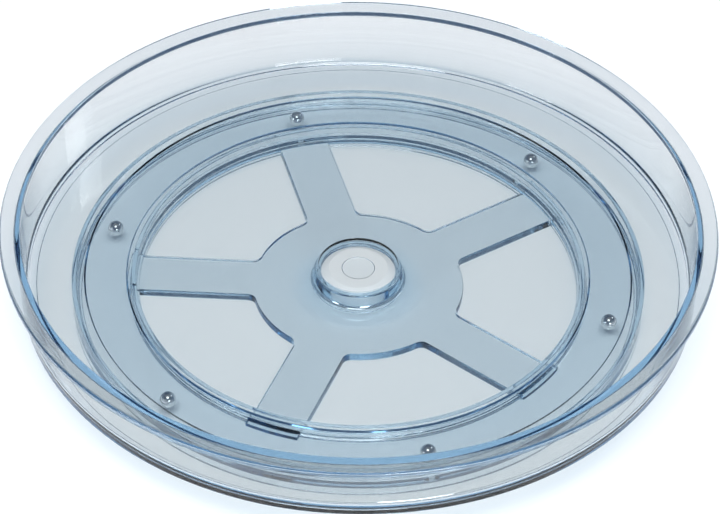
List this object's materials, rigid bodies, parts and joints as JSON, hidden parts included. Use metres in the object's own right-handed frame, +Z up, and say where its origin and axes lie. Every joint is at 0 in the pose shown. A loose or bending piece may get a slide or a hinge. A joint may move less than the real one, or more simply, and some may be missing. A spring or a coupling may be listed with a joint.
{
  "type": "revolving tray caddy",
  "caption": "Clear round tray with a low drafted wall and flat lip, turning on steel balls over a spoked clear base with a white centre pivot.",
  "frame": {"origin": "on the table under the tray's axis, at the centre of the base's flat underside", "axes": "+Z up along the tray's axis; +X to the right and +Y away from the viewer at rest, with the first spoke and the first ball 105.4 degrees round from +X"},
  "size_m": [0.28, 0.28, 0.04],
  "materials": {
    "clear_tray": "clear, polished, slight blue-grey tint",
    "clear_base": "clear, polished, slight blue-grey tint",
    "plug_white": "milky white, satin",
    "ball_steel": "polished steel"
  },
  "bodies": {
    "base": {"base": "clear_base"},
    "tray": {"tray": "clear_tray", "pivot_plug": "plug_white"},
    "ball_1": {"ball_1": "ball_steel"},
    "ball_2": {"ball_2": "ball_steel"},
    "ball_3": {"ball_3": "ball_steel"},
    "ball_4": {"ball_4": "ball_steel"},
    "ball_5": {"ball_5": "ball_steel"},
    "ball_6": {"ball_6": "ball_steel"}
  },
  "joints": [
    {"name": "tray_spin", "type": "hinge", "parent": "base", "child": "tray", "pos_m": [0, 0, 0.0116], "axis": [0, 0, 1], "continuous": true},
    {"name": "ball_1_roll", "type": "hinge", "parent": "base", "child": "ball_1", "pos_m": [-0.02698, 0.09795, 0.0066], "axis": [-0.2656, 0.9641, 0], "continuous": true},
    {"name": "ball_2_roll", "type": "hinge", "parent": "base", "child": "ball_2", "pos_m": [-0.09832, 0.02561, 0.0066], "axis": [-0.9677, 0.2521, 0], "continuous": true},
    {"name": "ball_3_roll", "type": "hinge", "parent": "base", "child": "ball_3", "pos_m": [-0.07134, -0.07234, 0.0066], "axis": [-0.7022, -0.712, 0], "continuous": true},
    {"name": "ball_4_roll", "type": "hinge", "parent": "base", "child": "ball_4", "pos_m": [0.02698, -0.09795, 0.0066], "axis": [0.2656, -0.9641, 0], "continuous": true},
    {"name": "ball_5_roll", "type": "hinge", "parent": "base", "child": "ball_5", "pos_m": [0.09832, -0.02561, 0.0066], "axis": [0.9677, -0.2521, 0], "continuous": true},
    {"name": "ball_6_roll", "type": "hinge", "parent": "base", "child": "ball_6", "pos_m": [0.07134, 0.07234, 0.0066], "axis": [0.7022, 0.712, 0], "continuous": true}
  ],
  "couplings": [
    {"joint": "ball_1_roll", "follows": "tray_spin", "ratio": -32},
    {"joint": "ball_2_roll", "follows": "tray_spin", "ratio": -32},
    {"joint": "ball_3_roll", "follows": "tray_spin", "ratio": -32},
    {"joint": "ball_4_roll", "follows": "tray_spin", "ratio": -32},
    {"joint": "ball_5_roll", "follows": "tray_spin", "ratio": -32},
    {"joint": "ball_6_roll", "follows": "tray_spin", "ratio": -32}
  ]
}
